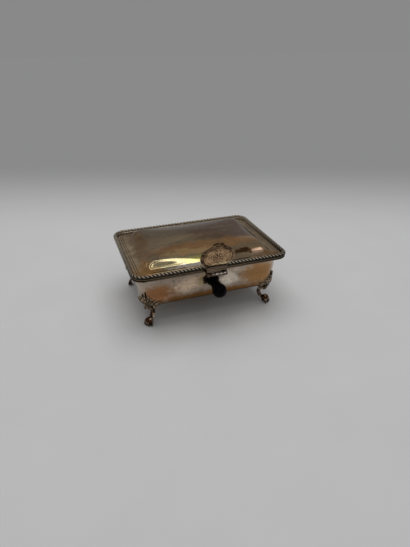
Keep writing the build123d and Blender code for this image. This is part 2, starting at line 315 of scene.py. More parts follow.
# The moulding's section as (inset from the lid's edge, rise from its top)
moulding_profile = (
    (1.1, -0.2), (0.4, -0.2), (0.1, 0.0), (0.0, 0.4), (0.04, 0.9), (0.2, 1.3), (0.5, 1.55), (0.85, 1.5),
    (1.1, 1.2), (3.3, 1.0), (3.55, 0.9), (3.8, 0.65), (3.94, 0.3), (4.0, -0.02), (1.1, -0.02),
)
rope_inset = 2.2
rope_rise = 1.7
rope_radius = 1.3
rope_strands = 2
strand_spacing = 3.4
rope_step = 0.35
ROPE_SIDES = 36
strand_relief = 0.5
# A power under 1 rounds a strand's back and narrows the gap beside it
strand_roundness = 0.75
# Between a strand's crest, 0, and the gap beside it, 1: the moulding is neither rubbed nor filled
moulding_gap = 0.24


def moulding():
    """The border's plain moulding, one closed profile carried round the lid."""
    loops = [open_outline(inset, lid_top + rise, hinge_gap) for inset, rise in moulding_profile]
    count = len(loops[0])
    total = len(loops)
    faces = []
    for side in range(total):
        low = side * count
        high = (side + 1) % total * count
        for index in range(count - 1):
            faces.append((low + index, low + index + 1, high + index + 1, high + index))
    faces.append(tuple(side * count for side in range(total)))
    faces.append(tuple(side * count + count - 1 for side in range(total)))
    made = piece("border_moulding", np.vstack(loops), faces)
    gap = made.data.attributes.new("gap", "FLOAT", "POINT")
    gap.data.foreach_set("value", [moulding_gap] * len(made.data.vertices))
    return made


def colour(code):
    """An sRGB hex value as linear red, green, blue and alpha."""
    values = [int(code[at:at + 2], 16) / 255 for at in (1, 3, 5)]
    linear = [value / 12.92 if value <= 0.04045 else ((value + 0.055) / 1.055) ** 2.4 for value in values]
    return (*linear, 1.0)


def add(tree, kind, inputs=(), **settings):
    """Adds a node with its settings.

    Each input is a value, a hex colour, an output of another node, or the node itself for the first of
    its outputs in use.
    """
    made = tree.nodes.new(kind)
    for key, value in settings.items():
        setattr(made, key, value)
    for socket, value in dict(inputs).items():
        if isinstance(value, bpy.types.Node):
            value = next(output for output in value.outputs if output.enabled)
        if isinstance(value, bpy.types.NodeSocket):
            tree.links.new(value, made.inputs[socket])
        else:
            is_colour = isinstance(value, str) and value.startswith("#")
            made.inputs[socket].default_value = colour(value) if is_colour else value
    return made


def rope_tree(material):
    """Geometry Nodes: a profile with rounded strands, turned steadily as it follows the path."""
    tree = bpy.data.node_groups.new("twisted_rope", "GeometryNodeTree")
    tree.interface.new_socket("Path", in_out="INPUT", socket_type="NodeSocketGeometry")
    for name in ("Radius", "Pitch", "Step", "Strands", "Relief"):
        tree.interface.new_socket(name, in_out="INPUT", socket_type="NodeSocketFloat")
    tree.interface.new_socket("Rope", in_out="OUTPUT", socket_type="NodeSocketGeometry")
    given = tree.nodes.new("NodeGroupInput").outputs
    path = add(tree, "GeometryNodeResampleCurve", {
        "Curve": given["Path"], "Length": given["Step"],
    }, mode="LENGTH")
    level = add(tree, "GeometryNodeSetCurveNormal", {"Curve": path}, mode="Z_UP")
    along = add(tree, "GeometryNodeSplineParameter").outputs["Length"]
    turns = add(tree, "ShaderNodeMath", {0: along, 1: given["Pitch"]}, operation="DIVIDE")
    turn = add(tree, "ShaderNodeMath", {0: turns, 1: 2 * pi}, operation="MULTIPLY")
    twisted = add(tree, "GeometryNodeSetCurveTilt", {"Curve": level, "Tilt": turn})
    circle = add(tree, "GeometryNodeCurvePrimitiveCircle", {
        "Resolution": ROPE_SIDES, "Radius": given["Radius"],
    })
    index = add(tree, "GeometryNodeInputIndex")
    lobes = add(tree, "ShaderNodeMath", {0: index, 1: given["Strands"]}, operation="MULTIPLY")
    angle = add(tree, "ShaderNodeMath", {0: lobes, 1: pi / ROPE_SIDES}, operation="MULTIPLY")
    wave = add(tree, "ShaderNodeMath", {0: angle}, operation="SINE")
    ridge = add(tree, "ShaderNodeMath", {0: wave}, operation="ABSOLUTE")
    swell = add(tree, "ShaderNodeMath", {0: ridge, 1: strand_roundness}, operation="POWER")
    dip = add(tree, "ShaderNodeMath", {0: swell, 1: 1.0}, operation="SUBTRACT")
    size = add(tree, "ShaderNodeMath", {0: dip, 1: given["Relief"], 2: 1.0}, operation="MULTIPLY_ADD")
    place = add(tree, "GeometryNodeInputPosition")
    scaled = add(tree, "ShaderNodeVectorMath", {0: place, "Scale": size}, operation="SCALE")
    gap = add(tree, "ShaderNodeMath", {0: 1.0, 1: swell}, operation="SUBTRACT")
    marked = add(tree, "GeometryNodeStoreNamedAttribute", {
        "Geometry": circle, "Name": "gap", "Value": gap,
    }, data_type="FLOAT", domain="POINT")
    profile = add(tree, "GeometryNodeSetPosition", {"Geometry": marked, "Position": scaled})
    solid = add(tree, "GeometryNodeCurveToMesh", {
        "Curve": twisted, "Profile Curve": profile, "Fill Caps": True,
    })
    shaded = add(tree, "GeometryNodeSetShadeSmooth", {"Geometry": solid})
    real = add(tree, "GeometryNodeRealizeInstances", {"Geometry": shaded})
    coloured = add(tree, "GeometryNodeSetMaterial", {"Geometry": real, "Material": material})
    add(tree, "NodeGroupOutput", {"Rope": coloured})
    return tree


def rope(material):
    """The twisted rope that lies in the moulding."""
    points = open_outline(rope_inset, lid_top + rope_rise, hinge_gap) * MM
    curve = bpy.data.curves.new("rope_path", "CURVE")
    curve.dimensions = "3D"
    line = curve.splines.new("POLY")
    line.points.add(len(points) - 1)
    line.points.foreach_set("co", np.c_[points, np.ones(len(points))].ravel())
    made = shown("rope_path", curve)
    tree = rope_tree(material)
    twist = made.modifiers.new("twist", "NODES")
    twist.node_group = tree
    measures = {
        "Radius": rope_radius * MM,
        "Pitch": strand_spacing * rope_strands * MM,
        "Step": rope_step * MM,
        "Strands": float(rope_strands),
        "Relief": strand_relief,
    }
    for item in tree.interface.items_tree:
        if item.name in measures:
            twist[item.identifier] = measures[item.name]
    return finished(made, "border_rope")


# Casting: pieces swelled together from many small round lumps
LUMP_SPACING = 0.35
SOFTENING = 0.5


def lump(centre, radii, axes=np.eye(3)):
    """One ellipsoid: its middle, its three radii and the directions of its axes as rows."""
    return np.array(centre, float), np.array(radii, float)[:, None] * np.asarray(axes, float)


def stroke(points, first_radius, last_radius, spacing=LUMP_SPACING):
    """Round lumps along a smooth curve, from one radius to another."""
    line = spline(points, spacing)
    radii = np.linspace(first_radius, last_radius, len(line))
    return [lump(point, (radius,) * 3) for point, radius in zip(line, radii)]


def cast(name, lumps, voxel, rounds):
    """Lumps fused into one skin of a given fineness, then softened in rounds, as a casting is."""
    ball = bmesh.new()
    bmesh.ops.create_icosphere(ball, subdivisions=2, radius=1)
    ball_points = np.array([vertex.co for vertex in ball.verts])
    ball_faces = np.array([[vertex.index for vertex in face.verts] for face in ball.faces])
    ball.free()
    points = np.vstack([centre + ball_points @ axes for centre, axes in lumps])
    faces = np.vstack([ball_faces + count * len(ball_points) for count in range(len(lumps))])
    made = piece(name + "_lumps", points, faces.tolist())
    fused = made.modifiers.new("fuse", "REMESH")
    fused.mode = "VOXEL"
    fused.voxel_size = voxel * MM
    fused.use_smooth_shade = True
    soften = made.modifiers.new("soften", "SMOOTH")
    soften.factor = SOFTENING
    soften.iterations = rounds
    return finished(made, name)


# Thumbpiece: an oval plate that leans forward, with a raised rim, a flower between scrolling leaves and
# a pierced crest. Flat places on it are (across, up) from the oval's middle.
thumb_lean = radians(9)
thumb_back_step = 1.1
thumb_half = np.array((16.0, 11.3))
thumb_middle = 9.6
thumb_sheet = 1.6
thumb_base = np.array((0.0, hinge_y + thumb_back_step, leaf_high[2]))
thumb_up = np.array((0.0, -sin(thumb_lean), cos(thumb_lean)))
thumb_out = np.array((0.0, -cos(thumb_lean), -sin(thumb_lean)))
THUMB_RINGS = 84
THUMB_SPOKES = 264
# Shares of the oval: its smallest ring, and where its face meets its edge
PLATE_MIDDLE = 0.004
plate_face = 0.985
plate_swell = 0.5
plate_sunk = 0.35
# From the plate's face round its edge as (share of the oval, out), and the shares of its back
plate_edge = ((0.995, 0.45), (1.0, 0.1), (1.0, -0.45), (0.985, -0.75))
plate_back = (0.95, 0.6, 0.2, PLATE_MIDDLE)
plate_back_out = -0.8
plate_hollow = 0.25
# Rims as (middle, half width, height), measured inwards from the edge
plate_rims = ((0.75, 0.75, 0.75), (2.0, 0.35, 0.4))
# The flower: how far out its petals' lines run, their half widths and height, and the radius of its eye
petals = 8
petal_reaches = (1.5, 2.7, 3.5)
petal_half_widths = (0.5, 1.1)
petal_height = 0.9
flower_eye = 1.2
# Scrolls as (line, first half width, last half width), with the same again on the other side
scroll_height = 0.85
RELIEF_STEP = 0.18
scrolls = (
    ((
        (1.6, -5.9), (5.6, -6.9), (9.8, -5.4), (12.2, -1.8), (11.4, 2.0), (8.6, 3.2), (6.8, 1.2), (8.4, -0.6),
    ), 1.3, 0.7),
    (((4.7, -3.6), (5.5, -1.0), (5.0, 2.2), (6.2, 4.6)), 0.85, 0.5),
    (((1.4, 5.4), (4.2, 7.3), (7.8, 7.3), (10.2, 5.4)), 1.2, 0.6),
    (((0.0, 4.9), (0.4, 6.6), (0.0, 8.8)), 0.9, 0.45),
    (((1.0, -8.4), (4.4, -8.9), (8.4, -7.9)), 0.8, 0.45),
    (((12.0, 3.6), (12.6, 1.6), (13.4, -0.6)), 0.5, 0.3),
)
# The crest: an oval loop, thicker at its ends, and strokes as (line, out, first radius, last radius)
crest_up = 12.1
crest_half = (4.0, 1.5)
crest_thickness = 0.82
crest_end_swell = 0.4
crest_bud = (((0, crest_up + 1.6), (0, crest_up + 2.1)), 0.2, 0.95, 0.7)
crest_curl = (((4.2, 11.6), (5.8, 10.9), (7.2, 9.9), (8.2, 9.2)), 0.1, 1.0, 0.5)
crest_prop = (((1.5, 10.6), (3.4, 10.5)), 0.3, 0.7, 0.7)
CREST_LUMPS = 60
crest_voxel = 0.2
CREST_ROUNDS = 2


def on_thumb(flat, out):
    """Places on the leaning plate, given flat places from the oval's middle and how far they stand out."""
    flat = np.asarray(flat, float)
    out = np.broadcast_to(out, len(flat))[:, None]
    return thumb_base + flat[:, :1] * (1, 0, 0) + (flat[:, 1:] + thumb_middle) * thumb_up + out * thumb_out


def relief(flat, line, first_width, last_width):
    """How far a tapering half-round line stands out at each flat place."""
    points = spline(line, RELIEF_STEP)
    widths = np.linspace(first_width, last_width, len(points))
    distances = np.linalg.norm(flat[:, None] - points[None], axis=2)
    return (widths * np.sqrt(np.clip(1 - (distances / widths) ** 2, 0, 1))).max(axis=1)


def thumb_relief(flat):
    """The whole ornament of the thumbpiece: rim, flower and scrolls."""
    rise = np.zeros(len(flat))
    for line, first_width, last_width in scrolls:
        for side in (-1, 1):
            scroll = relief(flat, np.array(line) * (side, 1), first_width, last_width)
            rise = np.maximum(rise, scroll_height * scroll)
    for petal in range(petals):
        turn = 2 * pi * petal / petals
        ray = np.array((cos(turn), sin(turn)))
        leaf = relief(flat, [ray * reach for reach in petal_reaches], *petal_half_widths)
        rise = np.maximum(rise, petal_height * leaf)
    rise = np.maximum(rise, relief(flat, ((0, 0), (0.02, 0)), flower_eye, flower_eye))
    inwards = (1 - np.linalg.norm(flat / thumb_half, axis=1)) * thumb_half[1]
    for middle, half, height in plate_rims:
        rise = np.maximum(rise, height * np.sqrt(np.clip(1 - ((inwards - middle) / half) ** 2, 0, 1)))
    return rise


def thumb_plate():
    """The oval plate: relief in front, plain and slightly hollow behind."""
    turns = np.linspace(0, 2 * pi, THUMB_SPOKES, endpoint=False)
    edge = thumb_half * np.c_[np.cos(turns), np.sin(turns)]
    edge[:, 1] = np.maximum(edge[:, 1], -thumb_middle)
    rings = []
    for share in np.linspace(PLATE_MIDDLE, plate_face, THUMB_RINGS):
        flat = edge * share
        dome = plate_swell * (1 - share**2)
        rings.append(on_thumb(flat, thumb_sheet / 2 - plate_sunk + dome + thumb_relief(flat)))
    for share, out in plate_edge:
        rings.append(on_thumb(edge * share, out))
    for share in plate_back:
        rings.append(on_thumb(edge * share, plate_back_out + plate_hollow * (1 - share)))
    return skin("plate", rings, relief_crease)


def thumb_crest():
    """The pierced loop on top of the plate, with a bud, and a curled end and a prop on each side."""
    turns = np.linspace(0, 2 * pi, CREST_LUMPS, endpoint=False)
    loop = np.c_[crest_half[0] * np.cos(turns), crest_up + crest_half[1] * np.sin(turns)]
    thickness = crest_thickness + crest_end_swell * abs(np.cos(turns)) ** 2
    lumps = [lump(point, (size,) * 3) for point, size in zip(on_thumb(loop, 0), thickness)]
    strokes = [(1, crest_bud)] + [(side, end) for side in (-1, 1) for end in (crest_curl, crest_prop)]
    for side, (line, out, first_radius, last_radius) in strokes:
        lumps += stroke(on_thumb(np.array(line) * (side, 1), out), first_radius, last_radius)
    return cast("crest", lumps, crest_voxel, CREST_ROUNDS)


# Knob: one turned profile along the axis that leaves the front wall square. Its places are (along, radius).
knob_rise_to_hinge = 11.5
knob_height = hinge_z - knob_rise_to_hinge
knob_root = np.array((0.0, case_y - floor_half[1] - wall_slope * (knob_height - floor_z), knob_height))
knob_out = np.array((0.0, -cos(wall_angle), -sin(wall_angle)))
knob_head_radius = 6.5
knob_head_place = 16.6
knob_neck = (
    (0.02, 0.05), (0.02, 5.2), (0.3, 5.5), (0.9, 5.6), (1.4, 5.3), (1.6, 4.8), (2.4, 4.55), (5.0, 4.4),
    (8.0, 4.45), (9.8, 4.7), (10.6, 5.15), (11.2, 5.2), (11.6, 4.85),
)
# The ball's profile runs between these angles from the knob's axis
knob_head_start = radians(133)
KNOB_HEAD_END = 0.02
KNOB_HEAD_STEPS = 26
KNOB_SIDES = 72


def knob():
    """The turned knob with a collar, a waisted neck and a ball."""
    side = np.array((1.0, 0.0, 0.0))
    other = np.cross(knob_out, side)
    profile = list(knob_neck)
    for angle in np.linspace(knob_head_start, KNOB_HEAD_END, KNOB_HEAD_STEPS):
        along = knob_head_place + knob_head_radius * cos(angle)
        profile.append((along, knob_head_radius * sin(angle)))
    turns = np.linspace(0, 2 * pi, KNOB_SIDES, endpoint=False)
    circle = np.cos(turns)[:, None] * side + np.sin(turns)[:, None] * other
    rings = [knob_root + along * knob_out + radius * circle for along, radius in profile]
    return skin("knob_turned", rings, turned_crease)


# Feet: a leaf that hugs the corner, a scrolled leg and a paw. A place on a foot is given outwards from the
# middle of the corner's round, across, and by its height.
foot_corner = np.array((floor_half[0] - tray_corner_radius, case_y - floor_half[1] + tray_corner_radius))
foot_out = np.array((1.0, -1.0)) / sqrt(2)
foot_across = np.array((1.0, 1.0)) / sqrt(2)
foot_voxel = 0.28
FOOT_ROUNDS = 3
FOOT_SPACING = 0.4
# The leg's middle line as (out, height). It tapers from the first half width and depth to the last.
leg_stations = ((12.0, 20.4), (8.6, 17.6), (5.0, 14.2), (3.7, 10.8), (4.6, 7.6), (7.2, 5.4), (10.2, 4.6))
leg_half_widths = (4.4, 2.1)
leg_half_depths = (3.0, 1.9)
LEG_TAPER = 0.7
# How much of its half depth, half width and half depth the leg's body fills, outwards, across and up
leg_fill = (0.8, 0.8, 0.9)
# The ridges stand at these shares of the half depth and half width
leg_ridge_out = 0.45
leg_ridge_across = 0.72
leg_ridge_radius = 0.62
# The scrolls under the knee
volute = ((12.6, 19.4), (11.4, 17.4), (10.2, 16.6), (9.2, 17.2), (9.6, 18.2))
volute_across = 3.4
volute_radii = (1.3, 0.9)
# The paw's heel and pad as (out from its middle, height, radii)
paw_outset = 11.4
paw_body = ((-1.2, 4.2, (3.2, 3.3, 4.0)), (0.6, 3.3, (2.9, 3.1, 3.2)))
# The toes fan out from a root behind the paw's middle. Each has its knuckle, middle, tip and claw at
# (reach, height).
toe_spreads = (-52, -18, 18, 52)
toe_root = 0.4
toe_splay = 1.2
toe_stations = ((0.9, 7.2), (2.6, 5.4), (3.8, 2.4), (4.5, 0.6))
toe_radii = (1.4, 1.25)
claw_radii = (0.8, 0.5)
TOE_SPACING = 0.25
CLAW_SPACING = 0.2
# Ribs of the leaf as (places, first radius, last radius, out). A place is the arc length from the corner's
# diagonal and the height. A rib that doesn't rise on the diagonal has its twin on the other side.
leaf_ribs = (
    (((0.0, 19.3), (0.0, 25.0), (0.0, 31.0), (0.0, 36.4)), 1.7, 0.75, 0.9),
    (((1.5, 20.5), (2.0, 25.5), (2.6, 30.0), (3.6, 33.6)), 1.2, 0.6, 0.6),
    (((2.2, 20.6), (3.2, 24.5), (4.4, 28.0), (5.6, 30.9)), 1.2, 0.6, 0.6),
    (((2.8, 20.6), (4.4, 23.6), (6.2, 26.4), (8.3, 28.9)), 1.1, 0.6, 0.6),
    (((3.2, 20.4), (5.6, 22.8), (8.2, 25.0), (10.9, 26.9)), 1.1, 0.65, 0.6),
    (((3.4, 19.8), (6.6, 21.4), (9.6, 23.0), (12.4, 24.6), (13.3, 26.0), (12.4, 26.7)), 1.1, 0.6, 0.7),
    (((3.2, 19.0), (5.8, 19.4), (7.9, 20.9), (7.6, 22.2), (6.6, 21.9)), 1.0, 0.55, 0.8),
    (((0.8, 21.0), (1.2, 26.0), (1.4, 31.5)), 1.0, 0.5, 0.2),
    (((2.4, 21.5), (4.0, 25.0), (5.6, 28.0)), 0.9, 0.5, 0.2),
    (((3.4, 21.0), (6.0, 24.0), (8.6, 26.4)), 0.9, 0.5, 0.2),
    (((4.0, 20.6), (7.4, 22.8), (10.8, 25.0)), 0.9, 0.5, 0.2),
)


def corner_reach(height):
    """How far the tray's rounded corner reaches from its middle at a height."""
    level = max(height - floor_z, 0.0)
    bend = floor_edge_radius
    if level > bend * (1 - sin(wall_angle)):
        return tray_corner_radius + wall_slope * level
    inset = bend / cos(wall_angle) - bend * tan(wall_angle) - sqrt(bend**2 - (bend - level) ** 2)
    return tray_corner_radius - inset


def foot_place(out, across, height):
    """A place on a foot as a point of the frame."""
    flat = foot_corner + out * foot_out + across * foot_across
    return np.array((flat[0], flat[1], height))


def on_corner(arc, height, out):
    """A place on the tray's corner, an arc length from the corner's diagonal, and stood off it."""
    reach = corner_reach(height)
    swing = np.clip(arc / reach, -pi / 4, pi / 4)
    spare = arc - swing * reach
    across = (reach + out) * sin(swing) + spare * cos(swing)
    return foot_place((reach + out) * cos(swing) - spare * sin(swing), across, height)


def leg_lumps():
    """The leg's curved body: flat ellipsoids along its stations, with ridges and a scroll under the knee."""
    line = spline(leg_stations, FOOT_SPACING)
    shares = np.linspace(0, 1, len(line)) ** LEG_TAPER
    axes = np.array(((*foot_out, 0), (*foot_across, 0), (0, 0, 1)))
    lumps = []
    for (out, height), share in zip(line, shares):
        half_width = leg_half_widths[0] + (leg_half_widths[1] - leg_half_widths[0]) * share
        half_depth = leg_half_depths[0] + (leg_half_depths[1] - leg_half_depths[0]) * share
        radii = np.array((half_depth, half_width, half_depth)) * leg_fill
        lumps.append(lump(foot_place(out, 0, height), radii, axes))
        for side in (-1, 1):
            across = side * half_width * leg_ridge_across
            ridge = foot_place(out + half_depth * leg_ridge_out, across, height)
            lumps.append(lump(ridge, (leg_ridge_radius,) * 3))
    for side in (-1, 1):
        curl = [foot_place(out, side * volute_across, height) for out, height in volute]
        lumps += stroke(curl, *volute_radii)
    return lumps


def paw_lumps():
    """The paw: a heel and a pad, four knuckled toes and their claws."""
    lumps = [lump(foot_place(paw_outset + out, 0, height), radii) for out, height, radii in paw_body]
    for spread in toe_spreads:
        turn = radians(spread)
        knuckle, middle, tip, claw = [
            foot_place(paw_outset - toe_root + reach * cos(turn), reach * toe_splay * sin(turn), height)
            for reach, height in toe_stations
        ]
        lumps += stroke((knuckle, middle, tip), *toe_radii, TOE_SPACING)
        lumps += stroke((tip, claw), *claw_radii, CLAW_SPACING)
    return lumps


def foot():
    """The foot of the front right corner."""
    lumps = leg_lumps() + paw_lumps()
    for line, first_radius, last_radius, out in leaf_ribs:
        on_diagonal = line[1][0] == 0
        for side in (1,) if on_diagonal else (-1, 1):
            places = spline(line, FOOT_SPACING)
            rib = [on_corner(side * arc, height, out) for arc, height in places]
            lumps += stroke(rib, first_radius, last_radius)
    made = cast("foot_front_right_cast", lumps, foot_voxel, FOOT_ROUNDS)
    for vertex in made.data.vertices:
        vertex.co.z = max(vertex.co.z, 0.0)
    return made


def mirrored(made, name, across, along):
    """A foot's copy at another corner."""
    mesh = made.data.copy()
    for vertex in mesh.vertices:
        vertex.co.x *= across
        vertex.co.y = case_y * MM + (vertex.co.y - case_y * MM) * along
    if across * along < 0:
        mesh.flip_normals()
    return shown(name, mesh)


# Hinge leaves: their edges are eased, and the lid's leaf has ridges with slightly rounded ends
MERGE_DISTANCE = 1e-6
leaf_edge = 0.2
leaf_edge_angle = radians(35)
leaf_face = hinge_y + 0.5
ridge_radius = 0.9
ridge_heights = (59.6, 56.7)
ridge_end_share = 0.75
ridge_end_length = 0.25
RIDGE_SIDES = 28


def leaf_copy(node, name):
    """A hinge leaf from the frame, merged and with its edges eased."""
    mesh = frame["nodes"][node].data.copy()
    work = bmesh.new()
    work.from_mesh(mesh)
    bmesh.ops.remove_doubles(work, verts=work.verts, dist=MERGE_DISTANCE)
    work.to_mesh(mesh)
    work.free()
    made = shown(name, mesh)
    rounding = made.modifiers.new("rounding", "BEVEL")
    rounding.width = leaf_edge * MM
    rounding.segments = 2
    rounding.angle_limit = leaf_edge_angle
    return smooth(finished(made, name), turned_crease)


def leaf_ridges():
    """Half-round ridges across the front of the lid's leaf."""
    turns = np.linspace(0, 2 * pi, RIDGE_SIDES, endpoint=False)
    made = []
    for height in ridge_heights:
        rings = []
        for end, inwards in ((leaf_low[0], 1), (leaf_high[0], -1)):
            stations = ((end, ridge_end_share), (end + ridge_end_length * inwards, 1))
            for across, share in stations[::inwards]:
                out = leaf_face + ridge_radius * share * np.cos(turns)
                up = height + ridge_radius * share * np.sin(turns)
                rings.append(np.c_[np.full(len(turns), across), out, up])
        made.append(skin("ridge", rings))
    return made


# Finishes. Patterns are on Object coordinates, in metres.
mark_raggedness = 0.9
# How far the edges of stains and painted marks wander along X, Y and Z, in millimetres
mark_wander = (20, 14, 4)
# Streaks and hairlines run along X. These are their length, width and height, in millimetres. Real
# hairlines are finer, and are drawn as coarse as they need to show.
streak_size = (71.4, 8.33, 8.33)
hairline_size = (11.11, 0.4167, 0.4167)
# How far apart a wave texture's bands are at a scale of 1
wave_band = pi / 10
dull_tone = "#8C7C6C"
pit_tone = "#4A3D30"
crevice_tarnish_and_shade = "#2A211A"
# How much rougher grime is than the clean metal, and between which heights a foot's darkened claws give way
# to its plain colour
grime_roughness = 0.3
claw_heights = (6.8, 8.5)


def finish(name):
    """A new material, its empty tree and the Object coordinates in it."""
    made = bpy.data.materials.new(name)
    made.use_nodes = True
    made.node_tree.nodes.clear()
    return made, made.node_tree, add(made.node_tree, "ShaderNodeTexCoord").outputs["Object"]


def per_metre(millimetres):
    """The scale of a pattern whose features are this many millimetres across."""
    return 1000 / millimetres


def stained_and_painted(tree, tone, place, mottle, stains_and_painted_light):
    """The tone with stain patches and painted light and shade on it, each a colour, its middle and radii in
    millimetres, and its strength.
    """
    for code, centre, radii, strength in stains_and_painted_light:
        near = add(tree, "ShaderNodeMapping", {
            "Vector": place,
            "Location": tuple(-a / b for a, b in zip(centre, radii)),
            "Scale": tuple(1 / (b * MM) for b in radii),
        })
        glow = add(tree, "ShaderNodeTexGradient", {"Vector": near}, gradient_type="SPHERICAL")
        ragged = add(tree, "ShaderNodeMath", {
            0: mottle, 1: mark_raggedness, 2: glow.outputs["Fac"],
        }, operation="MULTIPLY_ADD")
        mask = add(tree, "ShaderNodeMapRange", {
            "Value": ragged, "From Min": 0.5, "From Max": 1.0, "To Max": strength,
        }, interpolation_type="SMOOTHSTEP")
        tone = add(tree, "ShaderNodeMix", {0: mask, 6: tone, 7: code}, data_type="RGBA")
    return tone


def silver_plate(name, base, stains_and_painted_light, drawn):
    """Silver plate, rolled and pressed, hand polished and tarnished.

    The eye gets a satin mirror with warm cloudy stain patches where the plate has worn to copper, drawn out
    along the length by polishing, with fine hairlines, dark specks and a slightly uneven sheet. Some patches
    are painted reflections and painted shade, and the hollows darken with tarnish and painted shade.
    """
    made, tree, place = finish(name)
    # Dull clouds, and stains and painted marks whose edges wander and break up
    broken = add(tree, "ShaderNodeTexNoise", {
        "Vector": place, "Scale": per_metre(9), "Detail": 6.0, "Roughness": 0.62,
    })
    centred = add(tree, "ShaderNodeVectorMath", {
        0: broken.outputs["Color"], 1: (0.5, 0.5, 0.5),
    }, operation="SUBTRACT")
    shift = add(tree, "ShaderNodeVectorMath", {
        0: centred, 1: tuple(reach * MM for reach in mark_wander),
    }, operation="MULTIPLY")
    wander = add(tree, "ShaderNodeVectorMath", {0: place, 1: shift}, operation="ADD")
    long = add(tree, "ShaderNodeMapping", {"Vector": place, "Scale": (1 / drawn, 1.0, 1.0)})
    mottle = add(tree, "ShaderNodeTexNoise", {
        "Vector": long, "Scale": per_metre(4), "Detail": 7.0, "Roughness": 0.7,
    })
    clouds = add(tree, "ShaderNodeTexNoise", {"Vector": place, "Scale": per_metre(26), "Detail": 3.0})
    dulled = add(tree, "ShaderNodeMapRange", {
        "Value": clouds.outputs["Fac"], "From Min": 0.42, "From Max": 0.7, "To Max": 0.55,
    })
    tone = add(tree, "ShaderNodeMix", {0: dulled, 6: base, 7: dull_tone}, data_type="RGBA")
    tone = stained_and_painted(tree, tone, wander, mottle.outputs["Fac"], stains_and_painted_light)
    # Streaks where a cloth has wiped the tarnish thin or left it thick
    stretched = add(tree, "ShaderNodeMapping", {
        "Vector": wander, "Scale": tuple(per_metre(size) for size in streak_size),
    })
    streaks = add(tree, "ShaderNodeTexNoise", {
        "Vector": stretched, "Scale": 1.0, "Detail": 4.0, "Roughness": 0.6,
    })
    wiped_thin = add(tree, "ShaderNodeMapRange", {
        "Value": streaks.outputs["Fac"], "From Min": 0.3, "From Max": 0.7, "To Min": 0.72, "To Max": 1.18,
    })
    tone = add(tree, "ShaderNodeVectorMath", {0: tone, "Scale": wiped_thin}, operation="SCALE")
    # Dark specks, and darkening in the hollows and corners: tarnish, and painted shade
    specks = add(tree, "ShaderNodeTexNoise", {"Vector": place, "Scale": per_metre(1.6), "Detail": 3.0})
    pitted = add(tree, "ShaderNodeMapRange", {
        "Value": specks.outputs["Fac"], "From Min": 0.6, "From Max": 0.74, "To Max": 0.6,
    })
    tone = add(tree, "ShaderNodeMix", {0: pitted, 6: tone, 7: pit_tone}, data_type="RGBA")
    open_air = add(tree, "ShaderNodeAmbientOcclusion", {"Distance": 2.5 * MM}, samples=8).outputs["AO"]
    clear_of_tarnish_and_shade = add(tree, "ShaderNodeMapRange", {"Value": open_air, "From Min": 0.5, "From Max": 0.95})
    tone = add(tree, "ShaderNodeMix", {0: clear_of_tarnish_and_shade, 6: crevice_tarnish_and_shade, 7: tone}, data_type="RGBA")
    # An uneven satin, shallow dents and hairlines
    rough = add(tree, "ShaderNodeMapRange", {
        "Value": broken.outputs["Fac"], "From Min": 0.3, "From Max": 0.7, "To Min": 0.07, "To Max": 0.16,
    })
    hair = add(tree, "ShaderNodeMapping", {
        "Vector": place, "Scale": tuple(per_metre(size) for size in hairline_size),
    })
    hairlines = add(tree, "ShaderNodeTexNoise", {"Vector": hair, "Scale": 1.0, "Detail": 2.0})
    dents = add(tree, "ShaderNodeTexNoise", {"Vector": place, "Scale": per_metre(16), "Detail": 1.0})
    uneven = add(tree, "ShaderNodeBump", {"Height": dents.outputs["Fac"], "Distance": 0.04 * MM})
    scratched = add(tree, "ShaderNodeBump", {
        "Height": hairlines.outputs["Fac"], "Distance": 0.006 * MM, "Normal": uneven,
    })
    shader = add(tree, "ShaderNodeBsdfPrincipled", {
        "Base Color": tone, "Metallic": 1.0, "Roughness": rough, "Normal": scratched,
    })
    add(tree, "ShaderNodeOutputMaterial", {"Surface": shader})
    return made


